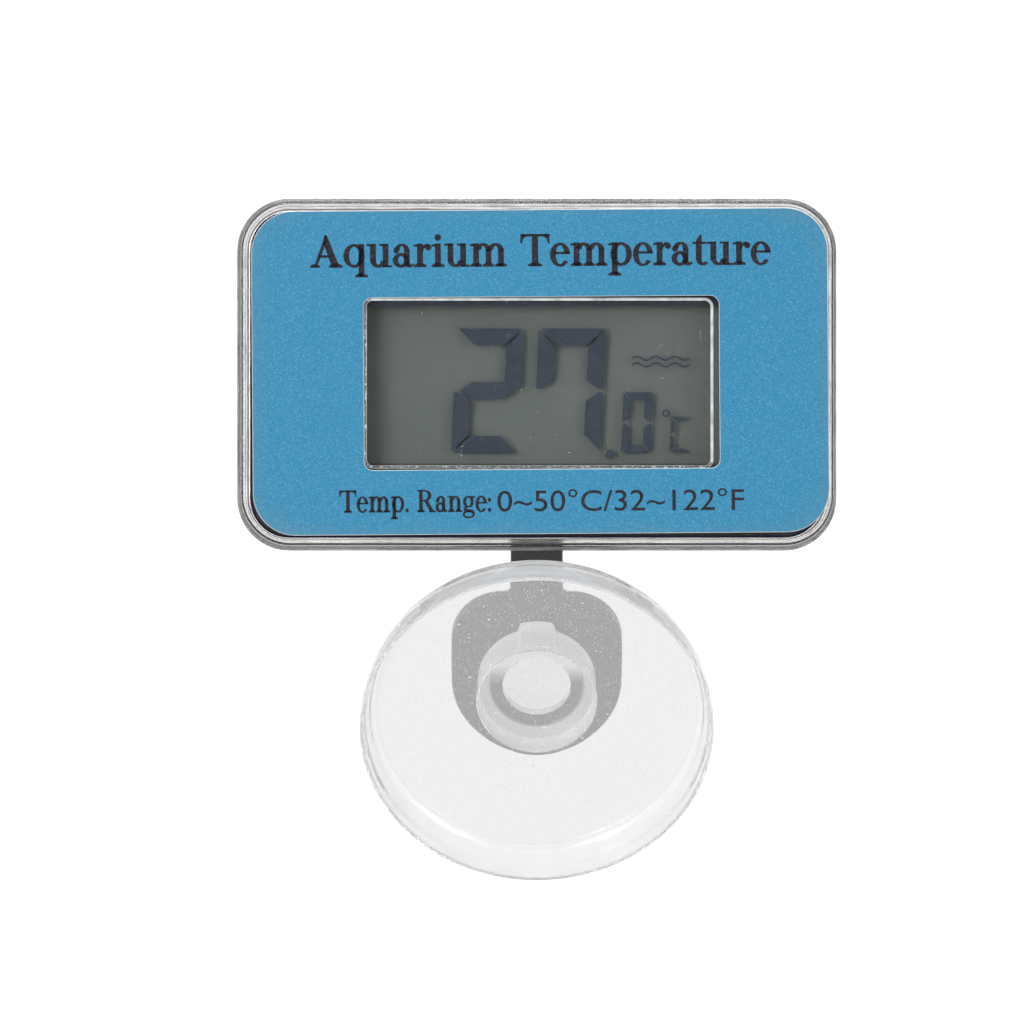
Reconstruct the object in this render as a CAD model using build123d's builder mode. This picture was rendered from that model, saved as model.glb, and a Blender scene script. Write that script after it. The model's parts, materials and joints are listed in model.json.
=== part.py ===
from build123d import *

import math
import os

os.makedirs("parts", exist_ok=True)

# A submersible digital aquarium thermometer: a clear case with a liquid-crystal display,
# held to the inside of a glass pane by a suction cup on a black hanger.
#
# Row frame, millimetres: the origin is the centre of the suction cup's lip, on the pane.
# -Y points at the pane, +X to the right of the display, +Z up the pane. The case leans back
# from the pane, so its own parts are drawn on display_plane: X to the right, Y up the case,
# and depth measured from the front of the case towards its back.

# ---- Driving dimensions ------------------------------------------------------------------

# Case
case_width = 55.0
case_height = 32.3
case_depth = 12.0
case_corner_radius = 4.8
case_tilt = math.radians(31.0)

# Clear front cover
cover_depth = 4.6
cover_wall = 1.3
cover_back_of_face = 1.7
cover_front_edge_radius = 0.35
label_recess_margin = 0.42
label_recess_depth = 0.4
window_width = 31.9
window_height = 15.3
window_corner_radius = 0.75
window_centre = (0.17, 15.27)
window_edge_radius = 0.12
window_area_slack = 3.0

# Blue label, set a little high and to the right, and slightly turned, as stuck on by hand
label_size = (52.7, 29.8)
label_thickness = 0.2
label_corner_radius = 3.9
label_centre = (0.55, 16.43)
label_cutout_size = (32.6, 15.8)
label_cutout_centre = (0.44, 15.39)
label_cutout_radius = 0.8
label_turn = 0.4

# Rear housing
housing_gap = 0.1
housing_front = 2.5
housing_wall = 1.4
housing_floor_front = 10.7
housing_back_edge_radius = 1.0

# Display stack: (front, back) depths
foam_depths = (1.7, 2.0)
polariser_depths = (2.0, 2.2)
front_glass_depths = (2.2, 2.9)
edge_seal_depths = (2.9, 3.0)
rear_glass_depths = (3.0, 3.7)
reflector_depths = (3.7, 3.9)
display_centre = (0.0, 15.3)
front_glass_size = (35.0, 19.4)
rear_glass_bottom = 7.4
edge_seal_width = 0.6
holder_size = (37.0, 21.4)
holder_front = 2.0
holder_plate_back = 4.5
holder_clearance = 0.05
holder_corner_radius = 1.0
foam_opening_radius = 0.5
polariser_side_margin = 0.3
polariser_end_margin = 0.15
zebra_slot_clearance = (0.1, 0.05)
foam_opening_sides = (-16.5, 16.8)
foam_opening_heights = (7.2, 22.45)
zebra_size = (30.0, 1.5)
zebra_centre = (0.0, 6.5)

# Circuit board and its screws
board_front = 5.4
board_back = 6.2
board_size = (46.0, 23.4)
board_centre = (0.0, 16.4)
board_cutout_radius = 6.2
screw_places = [(-20.8, 7.0), (20.8, 7.0), (-20.8, 25.6), (20.8, 25.6)]
screw_shank_radius = 0.58
screw_pilot_radius = 0.6
screw_head_radius = 1.4
screw_head_height = 0.8
screw_length = 4.5
screw_slots = [(1.8, 0.4), (0.4, 1.8)]
screw_slot_depth = 0.4
post_radius = 1.7
board_corner_radius = 1.5
board_screw_hole_radius = 0.9

# Small parts on the back of the board
blob_place = (-15.5, 12.0)
blob_radius = 3.5
blob_height = 1.3
blob_edge_radius = 1.2
resistor_places = [(11.5, 7.3), (14.0, 7.3), (16.5, 7.3), (19.0, 10.6)]
resistor_size = (1.6, 0.8)
resistor_height = 0.5
capacitor_places = [(12.0, 26.0), (15.0, 26.0), (-11.5, 26.4)]
capacitor_size = (2.0, 1.25)
capacitor_height = 0.9
crystal_start = (-19.0, 21.0)
crystal_radius = 1.0
crystal_length = 6.0
crystal_board_gap = 0.05
crystal_lead_heights = (20.6, 21.4)
crystal_lead_length = 1.8
crystal_lead_width = 0.3

# LR44 button cell, and the screwed battery cap behind it
cell_centre = (0.0, 16.9)
cell_radius = 5.8
cell_height = 5.4
cell_front = 4.9
cell_can_wall = 0.25
cell_gasket_wall = 0.4
cell_can_rim = 0.2
cell_gasket_rim = 0.15
contact_thickness = 0.2
positive_contact_width = 2.0
positive_contact_back = 8.4
positive_foot_length = 4.0
negative_contact_width = 3.0
negative_blade_sides = (-3.0, 7.0)
negative_foot_end = 10.0
contact_dimple_radius = 0.8
contact_dimple_height = 0.1
bay_radius = 10.2
bay_front = 6.4
bay_bore_radius = 6.2
bay_bore_back = 8.5
thread_bore_radius = 7.4
seal_step_radius = 8.2
seal_step_front = 9.9
cap_head_front = 10.8
cap_counterbore_radius = 8.9
cap_head_radius = 8.7
cap_skirt_radius = 7.3
cap_skirt_front = 8.7
cap_hollow_radius = 6.2
cap_hollow_back = 10.4
coin_slot_size = (12.0, 2.0)
coin_slot_depth = 1.0
cap_edge_radius = 0.3
coin_slot_end_flat = 0.02
cap_dot_offset = 7.2
cap_dot_radius = 0.45
arrow_place = (-11.7, 16.9)
arrow_radius = 0.9
mark_depth = 0.3
oring_section_radius = 0.4
oring_centre_radius = 7.75
oring_centre_depth = 10.35

# Temperature sensor
sensor_centre = (17.0, 16.9)
sensor_neck_radius = 2.0
sensor_hole_radius = 2.05
sensor_hollow_radius = 1.6
sensor_flange_radius = 2.9
sensor_flange_depths = (9.9, 10.3)
sensor_front_of_dome = 11.5
sensor_back = 11.9
sensor_dome_edge_radius = 0.5
thermistor_radius = 1.0
thermistor_length = 1.4
thermistor_gap = 0.1
thermistor_lead_radius = 0.18
thermistor_lead_spread = 0.6

# Hanger: paddle, strap and tongue in one plane parallel to the pane
paddle_front = 10.28
hanger_thickness = 1.5
paddle_width = 15.5
paddle_low_centre = -0.6
paddle_top = 8.1
paddle_corner_radius = 4.7
strap_width = 4.8
strap_reach = 12.56
strap_exit_depth = 7.0
tongue_height = 3.4
strap_root_radius = 0.55
hanger_edge_radius = 0.3
socket_width = 7.2
socket_depths = (3.5, 8.2)
socket_top = 4.3

# Suction cup: a turned profile, radius against distance from the pane
cup_radius = 16.3
cup_lip_width = 0.75
cup_depth = 5.1
cup_back_radius = 15.3
pedestal_radius = 5.36
pedestal_back = 10.2
neck_radius = 3.1
neck_back = 11.86
head_radius = 4.7
head_back = 13.7
paddle_hole_radius = 3.15

# ---- Derived places ----------------------------------------------------------------------

tilt_cos = math.cos(case_tilt)
tilt_sin = math.sin(case_tilt)
paddle_middle = paddle_front + hanger_thickness / 2
case_edge_y = paddle_middle - strap_exit_depth * tilt_cos
case_edge_z = strap_reach + strap_exit_depth * tilt_sin
case_middle = (0.0, case_height / 2)
near = 0.01

display_plane = Plane(
    origin=(0, case_edge_y, case_edge_z), x_dir=(1, 0, 0), z_dir=(0, -tilt_cos, tilt_sin)
)
hanger_plane = Plane(origin=(0, paddle_front, 0), x_dir=(1, 0, 0), z_dir=(0, -1, 0))


def at_depth(depth):
    """The plane parallel to the display, this far behind the front of the case."""
    return display_plane.offset(-depth)


def slab(size, centre, depths, radius=0.0, turn=0.0, mode=Mode.ADD):
    """A plate parallel to the display, between two depths, in the part being built."""
    front, back = depths
    with BuildSketch(at_depth(front)) as outline:
        with Locations(Location((centre[0], centre[1], 0), (0, 0, turn))):
            if radius > 0:
                RectangleRounded(size[0], size[1], radius)
            else:
                Rectangle(size[0], size[1])
    extrude(outline.sketch, amount=front - back, mode=mode)


def disc(radius, centre, depths, mode=Mode.ADD):
    """A round plate parallel to the display, between two depths, in the part being built."""
    front, back = depths
    with BuildSketch(at_depth(front)) as outline:
        with Locations(centre):
            Circle(radius)
    extrude(outline.sketch, amount=front - back, mode=mode)


def discs(radius, centres, depths, mode=Mode.ADD):
    """The same round plate at several places."""
    front, back = depths
    with BuildSketch(at_depth(front)) as outline:
        with Locations(*centres):
            Circle(radius)
    extrude(outline.sketch, amount=front - back, mode=mode)


def finish_piece(builder, label):
    """Name one finished piece and write its STEP file."""
    builder.part.label = label
    export_step(builder.part, f"parts/{label}.step")


# ---- Front cover and label ---------------------------------------------------------------

recess_size = (case_width - 2 * label_recess_margin, case_height - 2 * label_recess_margin)
recess_radius = case_corner_radius - label_recess_margin
cavity_size = (case_width - 2 * cover_wall, case_height - 2 * cover_wall)
cavity_radius = case_corner_radius - cover_wall

with BuildPart() as front_cover:
    slab((case_width, case_height), case_middle, (0, cover_depth), case_corner_radius)
    front_rim = front_cover.faces().sort_by(Axis(display_plane.origin, display_plane.z_dir))[-1]
    fillet(front_rim.edges(), cover_front_edge_radius)
    slab(recess_size, case_middle, (0, label_recess_depth), recess_radius, mode=Mode.SUBTRACT)
    slab(cavity_size, case_middle, (cover_back_of_face, cover_depth), cavity_radius, mode=Mode.SUBTRACT)
    slab((window_width, window_height), window_centre, (0, label_recess_depth), window_corner_radius)
    window_face = front_cover.faces().filter_by(
        lambda face: abs(face.area - window_width * window_height) < window_area_slack
        and abs(display_plane.to_local_coords(face.center()).Z) < near
    )
    fillet(window_face.edges(), window_edge_radius)
finish_piece(front_cover, "front_cover")

with BuildPart() as face_label:
    label_depths = (label_recess_depth - label_thickness, label_recess_depth)
    slab(label_size, label_centre, label_depths, label_corner_radius, turn=label_turn)
    slab(
        label_cutout_size,
        label_cutout_centre,
        label_depths,
        label_cutout_radius,
        turn=label_turn,
        mode=Mode.SUBTRACT,
    )
finish_piece(face_label, "face_label")

# ---- Rear housing and gasket -------------------------------------------------------------

housing_size = (cavity_size[0] - 2 * housing_gap, cavity_size[1] - 2 * housing_gap)
housing_radius = cavity_radius - housing_gap
tub_size = (housing_size[0] - 2 * housing_wall, housing_size[1] - 2 * housing_wall)
tub_radius = housing_radius - housing_wall
housing_bottom = (case_height - housing_size[1]) / 2

with BuildPart() as case_gasket:
    gasket_depths = (cover_back_of_face, housing_front)
    slab(housing_size, case_middle, gasket_depths, housing_radius)
    slab(tub_size, case_middle, gasket_depths, tub_radius, mode=Mode.SUBTRACT)
finish_piece(case_gasket, "case_gasket")

with BuildPart() as rear_housing:
    slab(housing_size, case_middle, (housing_front, case_depth), housing_radius)
    housing_back = rear_housing.faces().sort_by(Axis(display_plane.origin, display_plane.z_dir))[0]
    fillet(housing_back.edges(), housing_back_edge_radius)
    slab(tub_size, case_middle, (housing_front, housing_floor_front), tub_radius, mode=Mode.SUBTRACT)

    # Bay round the button cell, with its stepped mouth for the screwed cap
    disc(bay_radius, cell_centre, (bay_front, housing_floor_front))
    disc(bay_bore_radius, cell_centre, (bay_front, bay_bore_back), mode=Mode.SUBTRACT)
    disc(thread_bore_radius, cell_centre, (bay_bore_back, case_depth), mode=Mode.SUBTRACT)
    disc(seal_step_radius, cell_centre, (seal_step_front, case_depth), mode=Mode.SUBTRACT)
    disc(cap_counterbore_radius, cell_centre, (cap_head_front, case_depth), mode=Mode.SUBTRACT)

    # Screw posts
    discs(post_radius, screw_places, (board_back, housing_floor_front))
    screw_end = board_front + screw_length
    discs(screw_pilot_radius, screw_places, (board_back, screw_end), mode=Mode.SUBTRACT)

    # Hole for the sensor cap
    disc(sensor_hole_radius, sensor_centre, (housing_floor_front, case_depth), mode=Mode.SUBTRACT)

    # Socket in the bottom wall for the hanger's tongue
    socket_height = socket_top - housing_bottom
    socket_middle = (0, housing_bottom + socket_height / 2)
    slab((socket_width, socket_height), socket_middle, socket_depths)
    tongue_end = strap_reach + tongue_height / tilt_cos
    with BuildSketch(hanger_plane):
        with Locations((0, (strap_reach + tongue_end) / 2)):
            Rectangle(strap_width, tongue_end - strap_reach)
    extrude(amount=-hanger_thickness, mode=Mode.SUBTRACT)

    # Recessed arrow beside the cap, which shows where its dot stands when it is tight
    with BuildSketch(at_depth(case_depth)):
        with Locations(arrow_place):
            RegularPolygon(arrow_radius, 3)
    extrude(amount=mark_depth, mode=Mode.SUBTRACT)
finish_piece(rear_housing, "rear_housing")

# ---- Display stack -----------------------------------------------------------------------

glass_top = display_centre[1] + front_glass_size[1] / 2
rear_glass_size = (front_glass_size[0], glass_top - rear_glass_bottom)
rear_glass_centre = (0.0, (glass_top + rear_glass_bottom) / 2)
foam_opening_size = (
    foam_opening_sides[1] - foam_opening_sides[0],
    foam_opening_heights[1] - foam_opening_heights[0],
)
foam_opening_centre = (sum(foam_opening_sides) / 2, sum(foam_opening_heights) / 2)

with BuildPart() as lcd_foam_frame:
    slab(holder_size, display_centre, foam_depths, holder_corner_radius)
    slab(foam_opening_size, foam_opening_centre, foam_depths, foam_opening_radius, mode=Mode.SUBTRACT)
finish_piece(lcd_foam_frame, "lcd_foam_frame")

with BuildPart() as lcd_front_polariser:
    polariser_size = (
        rear_glass_size[0] - 2 * polariser_side_margin,
        rear_glass_size[1] - 2 * polariser_end_margin,
    )
    slab(polariser_size, rear_glass_centre, polariser_depths)
finish_piece(lcd_front_polariser, "lcd_front_polariser")

with BuildPart() as lcd_front_glass:
    slab(front_glass_size, display_centre, front_glass_depths)
finish_piece(lcd_front_glass, "lcd_front_glass")

with BuildPart() as lcd_edge_seal:
    slab(rear_glass_size, rear_glass_centre, edge_seal_depths)
    seal_opening = (rear_glass_size[0] - 2 * edge_seal_width, rear_glass_size[1] - 2 * edge_seal_width)
    slab(seal_opening, rear_glass_centre, edge_seal_depths, mode=Mode.SUBTRACT)
finish_piece(lcd_edge_seal, "lcd_edge_seal")

with BuildPart() as lcd_rear_glass:
    slab(rear_glass_size, rear_glass_centre, rear_glass_depths)
finish_piece(lcd_rear_glass, "lcd_rear_glass")

with BuildPart() as lcd_reflector:
    slab(rear_glass_size, rear_glass_centre, reflector_depths)
finish_piece(lcd_reflector, "lcd_reflector")

with BuildPart() as lcd_holder:
    plate_front = reflector_depths[1]
    pocket_size = (front_glass_size[0] + 2 * holder_clearance, front_glass_size[1] + 2 * holder_clearance)
    zebra_slot_size = (
        zebra_size[0] + 2 * zebra_slot_clearance[0],
        zebra_size[1] + 2 * zebra_slot_clearance[1],
    )
    slab(holder_size, display_centre, (holder_front, board_front), holder_corner_radius)
    slab(pocket_size, display_centre, (holder_front, plate_front), mode=Mode.SUBTRACT)
    slab(pocket_size, display_centre, (holder_plate_back, board_front), mode=Mode.SUBTRACT)
    slab(zebra_slot_size, zebra_centre, (plate_front, holder_plate_back), mode=Mode.SUBTRACT)
finish_piece(lcd_holder, "lcd_holder")

with BuildPart() as zebra_strip:
    slab(zebra_size, zebra_centre, (front_glass_depths[1], board_front))
finish_piece(zebra_strip, "zebra_strip")

# ---- Circuit board and what it carries ---------------------------------------------------

with BuildPart() as circuit_board:
    slab(board_size, board_centre, (board_front, board_back), board_corner_radius)
    disc(board_cutout_radius, cell_centre, (board_front, board_back), mode=Mode.SUBTRACT)
    discs(board_screw_hole_radius, screw_places, (board_front, board_back), mode=Mode.SUBTRACT)
finish_piece(circuit_board, "circuit_board")

with BuildPart() as pcb_screws:
    head_front = board_front - screw_head_height
    discs(screw_head_radius, screw_places, (head_front, board_front))
    discs(screw_shank_radius, screw_places, (board_front, screw_end))
    for place in screw_places:
        for slot in screw_slots:
            slab(slot, place, (head_front, head_front + screw_slot_depth), mode=Mode.SUBTRACT)
finish_piece(pcb_screws, "pcb_screws")

with BuildPart() as chip_blob:
    disc(blob_radius, blob_place, (board_back, board_back + blob_height))
    blob_back = chip_blob.faces().sort_by(Axis(display_plane.origin, display_plane.z_dir))[0]
    fillet(blob_back.edges(), blob_edge_radius)
finish_piece(chip_blob, "chip_blob")

with BuildPart() as chip_resistors:
    for place in resistor_places:
        slab(resistor_size, place, (board_back, board_back + resistor_height))
finish_piece(chip_resistors, "chip_resistors")

with BuildPart() as chip_capacitors:
    for place in capacitor_places:
        slab(capacitor_size, place, (board_back, board_back + capacitor_height))
finish_piece(chip_capacitors, "chip_capacitors")

with BuildPart() as timing_crystal:
    crystal_depth = board_back + crystal_radius + crystal_board_gap
    can_start = display_plane.from_local_coords((crystal_start[0], crystal_start[1], -crystal_depth))
    with BuildSketch(Plane(origin=can_start, x_dir=display_plane.z_dir, z_dir=(1, 0, 0))):
        Circle(crystal_radius)
    extrude(amount=crystal_length)
    can_end = crystal_start[0] + crystal_length
    lead_back = crystal_depth + crystal_lead_width / 2
    for lead_height in crystal_lead_heights:
        lead_middle = can_end + crystal_lead_length / 2
        lead_bend = can_end + crystal_lead_length - crystal_lead_width / 2
        lead_size = (crystal_lead_length, crystal_lead_width)
        slab(lead_size, (lead_middle, lead_height), (lead_back - crystal_lead_width, lead_back))
        slab((crystal_lead_width, crystal_lead_width), (lead_bend, lead_height), (board_back, lead_back))
finish_piece(timing_crystal, "timing_crystal")

# ---- Button cell and its contacts --------------------------------------------------------

cell_back = cell_front + cell_height

can_inner_radius = cell_radius - cell_can_wall
can_inner_back = cell_back - cell_can_wall
seal_inner_radius = can_inner_radius - cell_gasket_wall

with BuildPart() as cell_can:
    can_front = cell_front + cell_can_rim
    disc(cell_radius, cell_centre, (can_front, cell_back))
    disc(can_inner_radius, cell_centre, (can_front, can_inner_back), mode=Mode.SUBTRACT)
finish_piece(cell_can, "cell_can")

with BuildPart() as cell_gasket:
    cell_gasket_depths = (cell_front + cell_gasket_rim, can_inner_back)
    disc(can_inner_radius, cell_centre, cell_gasket_depths)
    disc(seal_inner_radius, cell_centre, cell_gasket_depths, mode=Mode.SUBTRACT)
finish_piece(cell_gasket, "cell_gasket")

with BuildPart() as cell_cap:
    disc(seal_inner_radius, cell_centre, (cell_front, can_inner_back))
finish_piece(cell_cap, "cell_cap")

foot_front = board_front - contact_thickness

with BuildPart() as positive_contact:
    blade_x = -(cell_radius + contact_thickness / 2)
    foot_x = -(cell_radius + positive_foot_length / 2)
    blade_depths = (foot_front, positive_contact_back)
    slab((contact_thickness, positive_contact_width), (blade_x, cell_centre[1]), blade_depths)
    foot_size = (positive_foot_length, positive_contact_width)
    slab(foot_size, (foot_x, cell_centre[1]), (foot_front, board_front))
finish_piece(positive_contact, "positive_contact")

with BuildPart() as negative_contact:
    blade_start, blade_end = negative_blade_sides
    blade_back = cell_front - contact_dimple_height
    blade_front = blade_back - contact_thickness
    blade_size = (blade_end - blade_start, negative_contact_width)
    slab(blade_size, ((blade_start + blade_end) / 2, cell_centre[1]), (blade_front, blade_back))
    riser_size = (contact_thickness, negative_contact_width)
    slab(riser_size, (blade_end - contact_thickness / 2, cell_centre[1]), (blade_front, board_front))
    foot_start = blade_end - contact_thickness
    foot_size = (negative_foot_end - foot_start, negative_contact_width)
    slab(foot_size, ((foot_start + negative_foot_end) / 2, cell_centre[1]), (foot_front, board_front))
    disc(contact_dimple_radius, cell_centre, (blade_back, cell_front))
finish_piece(negative_contact, "negative_contact")

# ---- Battery cap and its seal ------------------------------------------------------------

with BuildPart() as battery_cap:
    disc(cap_head_radius, cell_centre, (cap_head_front, case_depth))
    cap_back = battery_cap.faces().sort_by(Axis(display_plane.origin, display_plane.z_dir))[0]
    fillet(cap_back.edges(), cap_edge_radius)
    disc(cap_skirt_radius, cell_centre, (cap_skirt_front, cap_head_front))
    disc(cap_hollow_radius, cell_centre, (cap_skirt_front, cap_hollow_back), mode=Mode.SUBTRACT)
    slab(
        coin_slot_size,
        cell_centre,
        (case_depth - coin_slot_depth, case_depth),
        (coin_slot_size[1] - coin_slot_end_flat) / 2,
        mode=Mode.SUBTRACT,
    )
    dot_place = (cell_centre[0] - cap_dot_offset, cell_centre[1])
    disc(cap_dot_radius, dot_place, (case_depth - mark_depth, case_depth), mode=Mode.SUBTRACT)
finish_piece(battery_cap, "battery_cap")

with BuildPart() as battery_cap_oring:
    ring_centre = display_plane.from_local_coords((cell_centre[0], cell_centre[1], -oring_centre_depth))
    ring_start = ring_centre + Vector(oring_centre_radius, 0, 0)
    with BuildSketch(Plane(origin=ring_start, x_dir=(1, 0, 0), z_dir=display_plane.y_dir)):
        Circle(oring_section_radius)
    revolve(axis=Axis(ring_centre, display_plane.z_dir))
finish_piece(battery_cap_oring, "battery_cap_oring")

# ---- Temperature sensor ------------------------------------------------------------------

flange_front, flange_back = sensor_flange_depths

with BuildPart() as sensor_cap:
    disc(sensor_flange_radius, sensor_centre, sensor_flange_depths)
    disc(sensor_neck_radius, sensor_centre, (flange_back, sensor_back))
    dome = sensor_cap.faces().sort_by(Axis(display_plane.origin, display_plane.z_dir))[0]
    fillet(dome.edges(), sensor_dome_edge_radius)
    disc(sensor_hollow_radius, sensor_centre, (flange_front, sensor_front_of_dome), mode=Mode.SUBTRACT)
finish_piece(sensor_cap, "sensor_cap")

with BuildPart() as sensor_seal:
    seal_depths = (flange_back, housing_floor_front)
    disc(sensor_flange_radius, sensor_centre, seal_depths)
    disc(sensor_neck_radius, sensor_centre, seal_depths, mode=Mode.SUBTRACT)
finish_piece(sensor_seal, "sensor_seal")

with BuildPart() as thermistor:
    bead_back = sensor_front_of_dome - thermistor_gap
    bead_front = bead_back - thermistor_length
    disc(thermistor_radius, sensor_centre, (bead_front, bead_back))
    lead_places = [
        (sensor_centre[0] - thermistor_lead_spread, sensor_centre[1]),
        (sensor_centre[0] + thermistor_lead_spread, sensor_centre[1]),
    ]
    discs(thermistor_lead_radius, lead_places, (board_back, bead_front))
finish_piece(thermistor, "thermistor")

# ---- Hanger ------------------------------------------------------------------------------

with BuildPart() as hanger:
    paddle_height = paddle_top - paddle_low_centre
    with BuildSketch(hanger_plane) as hanger_outline:
        with Locations((0, paddle_low_centre + paddle_height / 2)):
            Rectangle(paddle_width, paddle_height)
        fillet(hanger_outline.vertices().group_by(Axis.Y)[-1], paddle_corner_radius)
        with Locations((0, paddle_low_centre)):
            Circle(paddle_width / 2)
        with Locations((0, tongue_end / 2)):
            Rectangle(strap_width, tongue_end)
        strap_roots = hanger_outline.vertices().filter_by(
            lambda corner: abs(abs(corner.X) - strap_width / 2) < near and abs(corner.Y - paddle_top) < near
        )
        fillet(strap_roots, strap_root_radius)
        Circle(paddle_hole_radius, mode=Mode.SUBTRACT)
    extrude(amount=-hanger_thickness)
    for broad_face in hanger.faces().filter_by(Axis.Y):
        rim_edges = broad_face.outer_wire().edges()
        fillet(rim_edges.filter_by(lambda edge: edge.center().Z < tongue_end - near), hanger_edge_radius)
finish_piece(hanger, "hanger")

# ---- Suction cup -------------------------------------------------------------------------

with BuildPart() as suction_cup:
    with BuildSketch(Plane.XY):
        with BuildLine():
            lip_inner = cup_radius - cup_lip_width
            lip = Line((lip_inner, 0), (cup_radius, 0))
            skirt = ThreePointArc(lip @ 1, (cup_radius - 0.28, 2.1), (cup_back_radius, cup_depth - 1.2))
            shoulder = ThreePointArc(
                skirt @ 1,
                (cup_back_radius - 0.42, cup_depth - 0.38),
                (cup_back_radius - 1.4, cup_depth),
            )
            back = Line(shoulder @ 1, (pedestal_radius + 1.1, cup_depth + 0.45))
            root = ThreePointArc(
                back @ 1,
                (pedestal_radius + 0.33, cup_depth + 0.78),
                (pedestal_radius, cup_depth + 1.55),
            )
            pedestal = Line(root @ 1, (pedestal_radius, pedestal_back))
            ledge = Line(pedestal @ 1, (neck_radius, pedestal_back))
            neck = Line(ledge @ 1, (neck_radius, neck_back))
            head_ledge = Line(neck @ 1, (head_radius, neck_back))
            head_side = Line(head_ledge @ 1, (head_radius, neck_back + 0.5))
            head_edge = ThreePointArc(
                head_side @ 1,
                (head_radius - 0.4, head_back - 0.4),
                (head_radius - 1.35, head_back),
            )
            head_end = Line(head_edge @ 1, (0, head_back))
            axis_line = Line(head_end @ 1, (0, cup_depth - 1.05))
            dimple = Line(axis_line @ 1, (0.9, cup_depth - 1.05))
            dimple_side = Line(dimple @ 1, (1.45, cup_depth - 1.4))
            floor = ThreePointArc(
                dimple_side @ 1,
                (8.0, cup_depth - 1.5),
                (13.0, cup_depth - 1.95),
            )
            bowl = ThreePointArc(floor @ 1, (14.35, cup_depth - 2.65), (14.95, cup_depth - 3.75))
            Line(bowl @ 1, lip @ 0)
        make_face()
    revolve(axis=Axis.Y)
finish_piece(suction_cup, "suction_cup")
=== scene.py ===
import json
import math

import bmesh
import bpy
from mathutils import Matrix, Vector


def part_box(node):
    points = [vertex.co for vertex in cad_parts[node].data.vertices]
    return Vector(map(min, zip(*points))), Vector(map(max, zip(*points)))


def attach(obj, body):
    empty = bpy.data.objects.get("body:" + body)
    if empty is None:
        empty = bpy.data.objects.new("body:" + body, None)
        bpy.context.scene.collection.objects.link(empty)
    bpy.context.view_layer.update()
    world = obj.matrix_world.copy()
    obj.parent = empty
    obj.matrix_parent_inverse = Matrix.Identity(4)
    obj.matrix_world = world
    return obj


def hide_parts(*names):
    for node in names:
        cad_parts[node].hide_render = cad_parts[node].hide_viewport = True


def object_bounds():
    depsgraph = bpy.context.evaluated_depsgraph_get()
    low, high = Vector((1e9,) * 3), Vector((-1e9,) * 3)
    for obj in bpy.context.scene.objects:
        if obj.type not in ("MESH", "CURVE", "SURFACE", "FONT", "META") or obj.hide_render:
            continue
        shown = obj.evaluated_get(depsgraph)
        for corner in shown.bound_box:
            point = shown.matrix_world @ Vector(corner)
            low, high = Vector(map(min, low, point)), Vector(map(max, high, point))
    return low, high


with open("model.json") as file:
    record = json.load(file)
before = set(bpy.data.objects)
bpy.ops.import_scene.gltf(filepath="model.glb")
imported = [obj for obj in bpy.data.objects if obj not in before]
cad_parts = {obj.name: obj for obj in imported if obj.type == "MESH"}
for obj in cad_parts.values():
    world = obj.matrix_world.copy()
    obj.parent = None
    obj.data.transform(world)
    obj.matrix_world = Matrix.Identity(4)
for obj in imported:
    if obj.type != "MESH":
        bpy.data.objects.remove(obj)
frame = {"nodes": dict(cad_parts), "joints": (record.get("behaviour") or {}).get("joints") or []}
cad_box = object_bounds()

# A submersible aquarium thermometer: a clear case with a display, on a suction cup.
# Lengths are in metres, through MM, or in millimetres where that is said.
MM = 0.001

scene = bpy.context.scene


def new_object(name, data):
    """An object of the scene that shows this mesh, curve, camera or lamp."""
    made = bpy.data.objects.new(name, data)
    scene.collection.objects.link(made)
    return made


# ---- Directions and places, from the frame ----

joints = {joint["name"]: joint for joint in frame["joints"]}
case_back = Vector(joints["cap_travel"]["axis"]).normalized()
case_right = Vector((1, 0, 0))
case_up = case_right.cross(case_back)
glass_low, glass_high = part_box("lcd_front_glass")

# The display glass has sharp edges, so its box gives the case's zero: the middle of the case's
# lower front edge. The glass starts this far up and back from there.
GLASS_UP = 5.6 * MM
GLASS_DEPTH = 2.2 * MM
GLASS_HEIGHT = 19.4 * MM
# The case leans, so the glass's lower front edge is a little above the bottom of its box
edge_rise = (glass_high.z - glass_low.z) - GLASS_HEIGHT * case_up.z
glass_edge = Vector(((glass_low.x + glass_high.x) / 2, glass_low.y, glass_low.z + edge_rise))
case_zero = glass_edge - case_up * GLASS_UP - case_back * GLASS_DEPTH


def on_case(x, up, depth):
    """A point of the case, in metres: x to the right, up its face, and back from its front."""
    return case_zero + case_right * x + case_up * up + case_back * depth


case_turn = Matrix((case_right, case_up, -case_back)).transposed().to_4x4()


def case_matrix(x, up, depth):
    """Puts flat work drawn in X and Y on the case, with its Z towards the reader."""
    return Matrix.Translation(on_case(x, up, depth)) @ case_turn


# ---- Camera ----

CAMERA_DISTANCE = 4.0
VIEW_WIDTH = 93.9 * MM
VIEW_CENTRE = (-2.27 * MM, 3.55 * MM)
SENSOR = 36.0

camera_data = bpy.data.cameras.new("camera")
camera_data.sensor_width = SENSOR
camera_data.lens = SENSOR * CAMERA_DISTANCE / VIEW_WIDTH
camera_data.clip_start = 0.02
camera_data.clip_end = 20.0
camera = new_object("camera", camera_data)
camera.matrix_world = case_matrix(*VIEW_CENTRE, -CAMERA_DISTANCE)
scene.camera = camera

scene.view_settings.view_transform = "Standard"
scene.cycles.max_bounces = 24
scene.cycles.transmission_bounces = 20
scene.cycles.transparent_max_bounces = 24
scene.cycles.glossy_bounces = 8
scene.cycles.diffuse_bounces = 6


# ---- Small node helpers ----


def fill(links, socket, value):
    """Links an output to a node's input, or sets the input to a plain value."""
    if isinstance(value, bpy.types.NodeSocket):
        links.new(value, socket)
    elif value is not None:
        socket.default_value = value


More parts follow.
